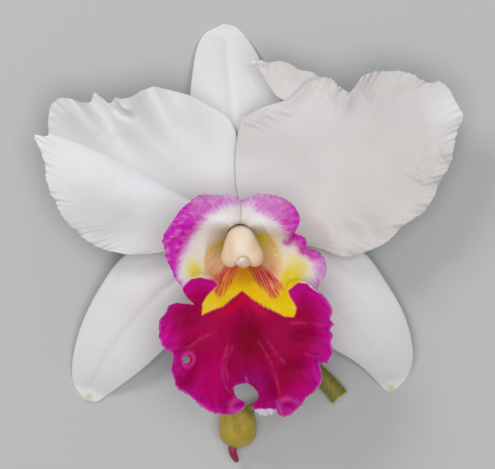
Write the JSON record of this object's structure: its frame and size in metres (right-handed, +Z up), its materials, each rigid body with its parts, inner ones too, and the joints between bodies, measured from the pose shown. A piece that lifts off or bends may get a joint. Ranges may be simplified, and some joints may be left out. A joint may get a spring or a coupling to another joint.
{
  "type": "cattleya orchid",
  "caption": "Large white orchid flower with broad ruffled petals and a frilled magenta lip, picked with a short stalk and a closed bud, lying face up on its sepal tips.",
  "frame": {"origin": "middle of the bounding box in plan, at the surface that the flower lies on", "axes": "+Z up, out of the flower's face; +Y from the centre towards the dorsal sepal; +X to the right as seen from above"},
  "size_m": [0.1608, 0.168, 0.0498],
  "materials": {
    "tepal": "satin, faintly veined",
    "lip": "velvety, magenta with a yellow and white throat",
    "column": "waxy",
    "anther_cap": "waxy",
    "pollinia": "waxy",
    "stalk": "satin green skin",
    "bud": "waxy",
    "bud_tip": "waxy"
  },
  "bodies": {
    "root": {"dorsal_sepal": "tepal", "lateral_sepal_left": "tepal", "lateral_sepal_right": "tepal", "petal_left": "tepal", "petal_right": "tepal", "lip": "lip", "column": "column", "anther_cap": "anther_cap", "pollinia": "pollinia", "stalk": "stalk", "bud": "bud", "bud_tip": "bud_tip"}
  },
  "joints": []
}
